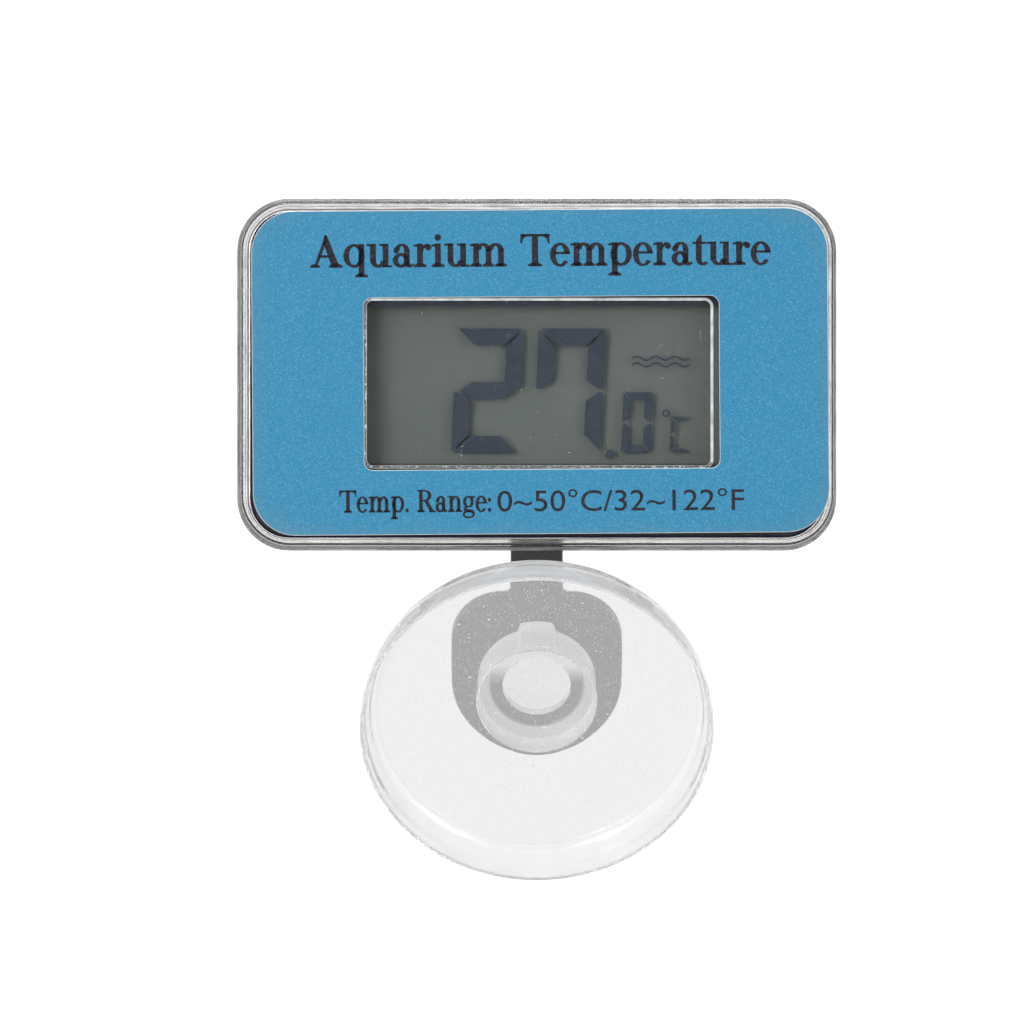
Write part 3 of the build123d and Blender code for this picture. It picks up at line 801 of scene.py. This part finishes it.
LABEL_TURN = math.radians(0.4)
LABEL_MIDDLE = (0.32 * MM, 16.42 * MM)
LABEL_SIZE = (52.86 * MM, 29.76 * MM)
LABEL_CORNER = 3.9 * MM
CUTOUT_MIDDLE = (0.44 * MM, 15.39 * MM)
CUTOUT_SIZE = (32.6 * MM, 15.8 * MM)
CUTOUT_CORNER = 0.8 * MM
LABEL_FRONT = 0.20 * MM
LABEL_BACK = 0.39 * MM
LABEL_BEVEL = 0.05 * MM


def label_loop(middle, size, corner, inset, depth):
    """A rounded rectangle on the label, turned with it."""
    points = []
    for x, up in rounded_rectangle(middle, size, corner, inset):
        across, above = x - LABEL_MIDDLE[0], up - LABEL_MIDDLE[1]
        turned_x = across * math.cos(LABEL_TURN) - above * math.sin(LABEL_TURN)
        turned_up = across * math.sin(LABEL_TURN) + above * math.cos(LABEL_TURN)
        points.append(on_case(LABEL_MIDDLE[0] + turned_x, LABEL_MIDDLE[1] + turned_up, depth))
    return points


cutout = (CUTOUT_MIDDLE, CUTOUT_SIZE, CUTOUT_CORNER)
border = (LABEL_MIDDLE, LABEL_SIZE, LABEL_CORNER)
label_loops = [
    label_loop(*cutout, 0.0, LABEL_BACK),
    label_loop(*cutout, 0.0, LABEL_FRONT + LABEL_BEVEL),
    label_loop(*cutout, -LABEL_BEVEL, LABEL_FRONT),
    label_loop(*border, LABEL_BEVEL, LABEL_FRONT),
    label_loop(*border, 0.0, LABEL_FRONT + LABEL_BEVEL),
    label_loop(*border, 0.0, LABEL_BACK),
]
work = bmesh.new()
loft(work, label_loops, hollow=True)
label = add_mesh("face_label_sheet", work, pearl_label(), "case", smooth=False)
label.data.materials.append(speckled("label_film", (0.62, 0.66, 0.68), 0.4))
for polygon in label.data.polygons:
    polygon.material_index = 0 if is_flat(polygon) else 1
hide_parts("face_label")

# ---- Suction cup ----

CUP_POINTS = [
    # (radius, distance from the pane, corner radius), millimetres, from the middle of the bowl outwards
    (0.0, 3.70, 0.0),
    (9.0, 3.72, 6.0),
    (15.10, 3.80, 1.6),
    (15.86, 1.20, 1.0),
    (15.96, 0.10, 0.08),
    (16.00, 0.0, 0.06),
    (16.24, 0.0, 0.10),
    (16.27, 0.7, 1.0),
    (16.14, 2.4, 2.0),
    (15.50, 5.10, 1.8),
    (13.0, 5.30, 3.0),
    (5.36, 5.45, 0.30),
    (5.36, 9.75, 0.35),
    (4.30, 10.2, 0.10),
    (3.1, 10.2, 0.12),
    (3.1, 11.86, 0.12),
    (4.7, 11.86, 0.12),
    (4.7, 13.65, 0.9),
    (0.0, 13.65, 0.0),
]
LONGEST_STEP = 0.5 * MM
CUP_TURNS = 240
# Where the three finishes lie: the pedestal between two heights, down to its neck, and the lip's outside
PEDESTAL_SPAN = (5.8 * MM, 10.25 * MM)
NECK_RADIUS = 3.15 * MM
LIP_RADIUS = 15.3 * MM
SOFT, SATIN, LIP = range(3)
RIB_HALF_ANGLE = math.radians(19)
RIB_SLOPE = math.radians(5)
RIB_HEIGHT = 0.72 * MM
RIB_SPAN = (5.6 * MM, 9.9 * MM)
PEDESTAL_SIDE = (4.6 * MM, 5.5 * MM)


def rib(radius, y, angle):
    """The pedestal's moulded rib: extra radius on its upper side."""
    on_side = PEDESTAL_SIDE[0] < radius < PEDESTAL_SIDE[1] and RIB_SPAN[0] < y < RIB_SPAN[1]
    inside = (RIB_HALF_ANGLE - abs(angle - math.pi / 2)) / RIB_SLOPE
    return RIB_HEIGHT * min(1.0, max(0.0, inside)) if on_side else 0.0


cup_outline = rounded_path(
    [(radius * MM, y * MM) for radius, y, corner in CUP_POINTS],
    [corner * MM for radius, y, corner in CUP_POINTS[1:-1]],
)
cup_skin = lathe(split_long(cup_outline, LONGEST_STEP), CUP_TURNS, rib)
cup = add_mesh("cup_body", cup_skin, soft_pvc(), "cup")
cup.data.materials.append(satin_pvc())
cup.data.materials.append(lip_pvc())
for polygon in cup.data.polygons:
    middle, normal = polygon.center, polygon.normal
    from_axis = math.hypot(middle.x, middle.z)
    outward = normal.x * middle.x + normal.z * middle.z > 0
    if PEDESTAL_SPAN[0] < middle.y < PEDESTAL_SPAN[1] and from_axis > NECK_RADIUS:
        polygon.material_index = SATIN
    elif from_axis > LIP_RADIUS and outward:
        polygon.material_index = LIP
    else:
        polygon.material_index = SOFT
let_light_through(cup)
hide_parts("suction_cup")

# ---- Display segments ----

SEGMENT_FRONT = 2.955 * MM
SEGMENT_THICKNESS = 0.03 * MM
DIGIT_SLANT = math.tan(math.radians(2.7))
BASELINE = 8.97  # millimetres up the case


def prism(work, outline):
    """A flat segment of the display, from outline points (x, up) in metres."""
    depths = (SEGMENT_FRONT, SEGMENT_FRONT + SEGMENT_THICKNESS)
    loft(work, [[on_case(x, up, depth) for x, up in outline] for depth in depths])


def digit_segments(width, height, stroke, gap):
    """Outlines of the seven segments of one digit, upright, from its lower left corner."""
    middle, half = height / 2, stroke / 2
    flat_end, side_end = stroke + gap * 0.5, gap + half * 0.5
    bottom = [(gap, 0), (stroke + gap, stroke), (width - stroke - gap, stroke), (width - gap, 0)]
    lower_left = [
        (0, gap),
        (0, middle - gap),
        (half * 0.6, middle - gap),
        (stroke, middle - half - gap),
        (stroke, stroke + gap),
    ]

    def rightward(shape):
        return [(width - x, y) for x, y in shape]

    def upward(shape):
        return [(x, height - y) for x, y in shape]

    left_end = [(flat_end, middle - half), (side_end, middle), (flat_end, middle + half)]
    return {
        "bottom": bottom,
        "top": upward(bottom),
        "middle": left_end + rightward(left_end)[::-1],
        "lower_left": lower_left,
        "upper_left": upward(lower_left),
        "lower_right": rightward(lower_left),
        "upper_right": upward(rightward(lower_left)),
    }


def add_digit(work, place, size, stroke, gap, lit):
    """One leaning digit of the display, with the segments that are lit; all sizes in millimetres."""
    shapes = digit_segments(*size, stroke, gap)
    for name in lit:
        leaning = [(x + y * DIGIT_SLANT, y) for x, y in shapes[name]]
        prism(work, [((place[0] + x) * MM, (place[1] + y) * MM) for x, y in leaning])


def ring_outline(centre, radius, count=32):
    angles = [2 * math.pi * k / count for k in range(count)]
    return [(centre[0] + radius * math.cos(a), centre[1] + radius * math.sin(a)) for a in angles]


def add_ring(work, centre, outer, inner):
    """A flat closed ring of the display."""
    front, back = SEGMENT_FRONT, SEGMENT_FRONT + SEGMENT_THICKNESS
    corners = ((outer, front), (outer, back), (inner, back), (inner, front))
    outlines = [(ring_outline(centre, radius, count=40), depth) for radius, depth in corners]
    loft(work, [[on_case(x, up, depth) for x, up in points] for points, depth in outlines], hollow=True)


TWO = ("top", "upper_right", "middle", "lower_left", "bottom")
SEVEN = ("upper_left", "top", "upper_right", "lower_right")
ZERO = ("top", "upper_left", "upper_right", "lower_left", "lower_right", "bottom")
LETTER_C = ("top", "upper_left", "lower_left", "bottom")

work = bmesh.new()
big, small, letter = (6.16, 11.42), (2.70, 5.58), (1.62, 3.30)
add_digit(work, (-7.86, BASELINE), big, 1.56, 0.16, TWO)
add_digit(work, (-0.33, BASELINE), big, 1.56, 0.16, SEVEN)
add_digit(work, (7.70, BASELINE), small, 0.72, 0.09, ZERO)
add_digit(work, (12.16, BASELINE + 0.03), letter, 0.38, 0.07, LETTER_C)
prism(work, ring_outline((6.70 * MM, 8.84 * MM), 0.44 * MM))
add_ring(work, (11.86 * MM, 12.62 * MM), 0.36 * MM, 0.20 * MM)

# Two small waves, the display's water sign
WAVE_LENGTH = 1.75 * MM
WAVE_COUNT = 3
WAVE_HEIGHT = 0.17 * MM
WAVE_HALF_STROKE = 0.09 * MM
WAVE_LEFT = 8.75 * MM
wave_steps = 16 * WAVE_COUNT
for level in (17.05 * MM, 17.65 * MM):
    upper, lower = [], []
    for k in range(wave_steps + 1):
        waves = WAVE_COUNT * k / wave_steps
        x = WAVE_LEFT + WAVE_LENGTH * waves
        y = level + WAVE_HEIGHT * math.sin(2 * math.pi * waves)
        upper.append((x, y + WAVE_HALF_STROKE))
        lower.append((x, y - WAVE_HALF_STROKE))
    prism(work, upper + lower[::-1])
add_mesh("lcd_segments", work, lit_segments(), "case", smooth=False)

# ---- Label print ----

PRINT_FRONT = 0.185 * MM
PRINT_THICKNESS = 0.012 * MM

# A bold book face, in millimetres at the title's size
INK_SPREAD = 0.035
X_HEIGHT = 2.08
CAP_HEIGHT = 2.9
STEM = 0.46
FOOT = 0.13


def bar(x0, y0, x1, y1):
    return [(x0, y0), (x1, y0), (x1, y1), (x0, y1)]


def stem(x, low, high, width=STEM):
    return bar(x, low, x + width, high)


def foot(x, y=0.0, reach=0.33, width=STEM):
    """A bracketed serif under a stem."""
    left, right = x - reach, x + width + reach
    return [(left, y), (right, y), (right, y + FOOT), (x + width, y + 0.3), (x, y + 0.3), (left, y + FOOT)]


def flag(x):
    """The slanted serif at a small letter's upper left."""
    y = X_HEIGHT
    return [(x - 0.33, y - 0.20), (x, y - 0.20), (x + STEM, y), (x + 0.1, y), (x - 0.33, y - 0.10)]


def first_stem(reach=0.33):
    """A small letter's left stem, with its foot and its flag."""
    return [stem(0.35, 0, X_HEIGHT), foot(0.35, reach=reach), flag(0.35)]


def bowl(x, y, outer, inner, start=0, end=360):
    """A stretch of an oval ring, swelling where the inner oval is narrower."""
    steps = max(6, round(abs(end - start) / 12))
    angles = [math.radians(start + (end - start) * k / steps) for k in range(steps + 1)]
    out = [(x + outer[0] * math.cos(a), y + outer[1] * math.sin(a)) for a in angles]
    back = [(x + inner[0] * math.cos(a), y + inner[1] * math.sin(a)) for a in reversed(angles)]
    return out + back


def spot(x, y, radius):
    angles = [2 * math.pi * k / 16 for k in range(16)]
    return [(x + radius * math.cos(a), y + radius * math.sin(a)) for a in angles]


def arch(x):
    """From one stem over to the next."""
    return bowl(x, 1.40, (0.72, 0.70), (0.26, 0.50), 0, 165)


def ring(x, y, outer, inner):
    """A whole oval in two halves, so that each stays a simple outline."""
    return [bowl(x, y, outer, inner, -90, 90), bowl(x, y, outer, inner, 90, 270)]


LETTERS = {}  # letter: (advance, outlines)
LETTERS[" "] = 1.15, []
LETTERS["."] = 0.75, [spot(0.35, 0.22, 0.23)]
LETTERS[":"] = 0.75, [spot(0.35, 0.22, 0.23), spot(0.35, 1.55, 0.23)]
LETTERS["A"] = 3.05, [
    [(0.38, 0), (0.6, 0), (1.58, 2.55), (1.5, CAP_HEIGHT), (1.45, CAP_HEIGHT)],
    [(1.36, CAP_HEIGHT), (1.56, CAP_HEIGHT), (2.72, 0), (2.08, 0), (1.3, 2.2)],
    bar(0.8, 0.92, 2.05, 1.08),
    foot(0.4, width=0.16),
    foot(2.1, reach=0.3, width=0.58),
]
LETTERS["R"] = 2.95, [
    stem(0.42, 0, CAP_HEIGHT, 0.5),
    foot(0.42, width=0.5),
    bar(0.08, CAP_HEIGHT - FOOT, 1.35, CAP_HEIGHT),
    bowl(1.3, 2.17, (1.0, 0.73), (0.5, 0.59), -90, 90),
    bar(0.9, 1.44, 1.35, 1.58),
    [(1.2, 1.5), (1.75, 1.5), (2.72, 0.06), (2.1, 0.06)],
    bar(2.05, 0, 2.98, FOOT),
]
LETTERS["T"] = 2.75, [
    stem(1.12, 0, CAP_HEIGHT, 0.5),
    foot(1.12, width=0.5, reach=0.36),
    bar(0.06, CAP_HEIGHT - 0.16, 2.68, CAP_HEIGHT),
    [(0.06, CAP_HEIGHT), (0.04, 2.12), (0.14, 2.12), (0.26, 2.52), (0.6, 2.76)],
    [(2.68, CAP_HEIGHT), (2.7, 2.12), (2.6, 2.12), (2.48, 2.52), (2.14, 2.76)],
]
LETTERS["a"] = 1.98, [
    bowl(0.88, 1.44, (0.68, 0.66), (0.24, 0.5), 0, 165),
    stem(1.12, 0.22, 1.46, 0.44),
    spot(0.36, 1.5, 0.24),
    *ring(0.8, 0.6, (0.74, 0.64), (0.3, 0.44)),
    [(1.12, 0.34), (1.56, 0.34), (1.66, 0.18), (1.92, 0.26), (1.92, 0.12), (1.62, -0.04), (1.28, 0.02)],
]
LETTERS["e"] = 1.9, [bowl(0.94, 1.02, (0.9, 1.07), (0.44, 0.91), 5, 322), bar(0.4, 1.1, 1.82, 1.25)]
LETTERS["g"] = 2.02, [
    *ring(0.92, 1.32, (0.82, 0.76), (0.38, 0.62)),
    *ring(0.96, -0.36, (0.94, 0.5), (0.66, 0.34)),
    [(0.28, 0.6), (0.62, 0.66), (0.62, 0.34), (1.6, 0.24), (1.86, -0.1), (0.3, -0.04), (0.14, 0.3)],
    bar(1.4, 1.84, 2.0, 2.02),
]
LETTERS["i"] = 1.18, [*first_stem(), spot(0.58, 2.68, 0.27)]
LETTERS["m"] = 3.52, [
    *first_stem(reach=0.27),
    *(stem(x, 0, 1.58) for x in (1.5, 2.65)),
    *(foot(x, reach=0.27) for x in (1.5, 2.65)),
    arch(1.24),
    arch(2.39),
]
LETTERS["n"] = 2.38, [*first_stem(reach=0.27), stem(1.52, 0, 1.5), foot(1.52, reach=0.27), arch(1.26)]
LETTERS["p"] = 2.26, [
    stem(0.35, -0.85, X_HEIGHT),
    foot(0.35, y=-0.9),
    flag(0.35),
    *ring(1.18, 1.04, (0.96, 1.06), (0.5, 0.88)),
]
LETTERS["q"] = 2.24, [
    stem(1.5, -0.85, X_HEIGHT),
    foot(1.5, y=-0.9),
    *ring(1.05, 1.04, (0.96, 1.06), (0.5, 0.88)),
]
LETTERS["r"] = 1.66, [
    *first_stem(),
    spot(1.36, 1.76, 0.25),
    bowl(1.22, 1.36, (0.55, 0.7), (0.4, 0.46), 70, 175),
]
LETTERS["t"] = 1.36, [
    [(0.35, 0.5), (0.81, 0.5), (0.81, 2.72), (0.68, 2.72), (0.35, 2.2)],
    bar(0.02, X_HEIGHT - 0.14, 1.26, X_HEIGHT),
    bowl(0.95, 0.52, (0.6, 0.55), (0.14, 0.38), 180, 320),
]
LETTERS["u"] = 2.36, [
    stem(0.33, 0.6, X_HEIGHT),
    stem(1.5, 0, X_HEIGHT),
    bar(0.0, X_HEIGHT - FOOT, 0.79, X_HEIGHT),
    bar(1.2, X_HEIGHT - FOOT, 1.96, X_HEIGHT),
    bar(1.5, 0, 2.3, FOOT),
    bowl(1.05, 0.66, (0.72, 0.7), (0.26, 0.48), 180, 345),
]


def swell(outline, amount):
    """The outline grown by an amount on every side, as ink spreads."""
    turn = sum(x0 * y1 - x1 * y0 for (x0, y0), (x1, y1) in zip(outline, outline[1:] + outline[:1]))
    way = 1 if turn > 0 else -1
    grown = []
    for before, here, after in zip(outline[-1:] + outline[:-1], outline, outline[1:] + outline[:1]):
        into = Vector((here[0] - before[0], here[1] - before[1])).normalized()
        away = Vector((after[0] - here[0], after[1] - here[1])).normalized()
        side = Vector((into.y + away.y, -into.x - away.x))
        reach = amount * way * min(2.0, 2 / max(side.length, 0.5))
        side.normalize()
        grown.append((here[0] + side.x * reach, here[1] + side.y * reach))
    return grown


def print_letters(name, text, size, start, end, baseline):
    """A printed line of the label's own letters from one x to another, as thin solids."""
    width = sum(LETTERS[letter][0] for letter in text) * size
    squeeze = (end - start) / (width * MM)
    line = bmesh.new()
    place = case_matrix((start + end) / 2, baseline, PRINT_FRONT + PRINT_THICKNESS)
    place = place @ Matrix.Rotation(LABEL_TURN, 4, "Z")
    pen = -width / 2
    for letter in text:
        advance, outlines = LETTERS[letter]
        for outline in outlines:
            spots = [((pen + x * size) * squeeze * MM, y * size * MM) for x, y in swell(outline, INK_SPREAD)]
            loft(line, [[place @ Vector((x, y, z)) for x, y in spots] for z in (PRINT_THICKNESS, 0)])
        pen += advance * size
    add_mesh(name, line, ink_material, "case", smooth=False)


def print_figures(name, text, size, start, end, baseline):
    """A printed line of plain figures and signs from one x to another, as thin solids."""
    curve = bpy.data.curves.new(name, "FONT")
    curve.body = text
    curve.size = size
    curve.extrude = PRINT_THICKNESS / 2
    curve.resolution_u = 6
    letters = new_object(name, curve)
    bpy.context.view_layer.update()
    mesh = bpy.data.meshes.new_from_object(letters)
    bpy.data.objects.remove(letters)
    low = min(vertex.co.x for vertex in mesh.vertices)
    high = max(vertex.co.x for vertex in mesh.vertices)
    fit = Matrix.Diagonal(((end - start) / (high - low), 1.0, 1.0, 1.0)) @ Matrix.Translation((-low, 0, 0))
    turn = Matrix.Rotation(LABEL_TURN, 4, "Z")
    mesh.transform(case_matrix(start, baseline, PRINT_FRONT + PRINT_THICKNESS / 2) @ turn @ fit)
    mesh.materials.clear()
    mesh.materials.append(ink_material)
    add_piece(name, mesh, "case")


ink_material = ink()
print_letters("label_title", "Aquarium Temperature", 1.0, -20.8 * MM, 21.5 * MM, 26.12 * MM)
print_letters("label_range_words", "Temp. Range:", 0.69, -18.1 * MM, -4.1 * MM, 3.55 * MM)
print_figures("label_range_figures", "0~50°C/32~122°F", 2.75 * MM, -3.6 * MM, 19.0 * MM, 3.60 * MM)

# ---- Floor, world and lamps ----

FLOOR_DROP = 2.0


def lit_floor():
    """White floor, lit from below where the camera looks, with less light further out."""
    s = Shader("floor", (0.2, 0.2, 0.2), 0.9, Specular_IOR_Level=0.0, Emission_Color=(1, 1, 1, 1))
    sight = case_back * (FLOOR_DROP / -case_back.z)
    out = s.nodes.new("ShaderNodeVectorMath")
    out.operation = "DISTANCE"
    out.inputs[1].default_value = (sight.x, sight.y, 0)
    s.links.new(s.place, out.inputs[0])
    glow = s.range(out.outputs["Value"], 0.6 * FLOOR_DROP, 2.4 * FLOOR_DROP, 1.0, 0.80)
    camera_ray = s.node("ShaderNodeLightPath").outputs["Is Camera Ray"]
    s.feed(s.maths("MAXIMUM", glow, camera_ray), "Emission Strength")
    return s.material


floor_work = bmesh.new()
bmesh.ops.create_grid(floor_work, x_segments=1, y_segments=1, size=9.0)
floor_mesh = bpy.data.meshes.new("floor")
floor_work.to_mesh(floor_mesh)
floor_work.free()
floor = new_object("floor", floor_mesh)
floor.location = (0, 0, -FLOOR_DROP)
floor_mesh.materials.append(lit_floor())

world = bpy.data.worlds.new("studio")
scene.world = world
world.use_nodes = True
tree = world.node_tree
tree.nodes.clear()


def world_node(kind, *inputs):
    """A node of the world, with its first inputs linked or set."""
    node = tree.nodes.new(kind)
    for socket, value in zip(node.inputs, inputs):
        fill(tree.links, socket, value)
    return node


def towards(direction, start, full):
    """1 where the world is seen towards a direction, 0 away from it, by the cosines given."""
    dot = world_node("ShaderNodeVectorMath", look, direction)
    dot.operation = "DOT_PRODUCT"
    fade = world_node("ShaderNodeMapRange", dot.outputs["Value"], start, full, 0.0, 1.0)
    fade.interpolation_type = "SMOOTHSTEP"
    return fade.outputs["Result"]


def blend_grey(factor, first, second):
    mix = world_node("ShaderNodeMix", factor, None, first, second)
    mix.data_type = "FLOAT"
    return mix.outputs[0]


look = world_node("ShaderNodeTexCoord").outputs["Generated"]
# Bright overhead, dimmer at the horizon, strip lights at both sides, dark room behind the camera
sky = blend_grey(towards((0, 0, 1), -0.1, 0.9), 0.8, 1.0)
sky = blend_grey(towards((-0.96, 0.10, 0.25), 0.90, 0.95), sky, 1.4)
sky = blend_grey(towards((0.96, 0.10, 0.25), 0.92, 0.96), sky, 1.3)
sky = blend_grey(towards(tuple(-case_back), 0.86, 0.95), sky, 0.02)
background = world_node("ShaderNodeBackground", sky)
seen = world_node("ShaderNodeBackground", (1, 1, 1, 1))
is_camera = world_node("ShaderNodeLightPath").outputs["Is Camera Ray"]
choose = world_node("ShaderNodeMixShader", is_camera, background.outputs[0], seen.outputs[0])
world_node("ShaderNodeOutputWorld", choose.outputs[0])


def softbox(name, place, target, size, power):
    lamp_data = bpy.data.lights.new(name, "AREA")
    lamp_data.shape = "RECTANGLE"
    lamp_data.size, lamp_data.size_y = size
    lamp_data.energy = power
    lamp = new_object(name, lamp_data)
    lamp.location = place
    aim = Vector(target) - Vector(place)
    lamp.rotation_mode = "QUATERNION"
    lamp.rotation_quaternion = aim.to_track_quat("-Z", "Y")


centre = (cad_box[0] + cad_box[1]) / 2
softbox("key", (-0.60, -0.75, 0.65), centre, (0.5, 0.5), 6.5)
softbox("fill", (0.70, -0.55, 0.45), centre, (0.5, 0.6), 2.5)
softbox("top", (0.0, 0.45, 0.95), centre, (0.7, 0.4), 5.0)
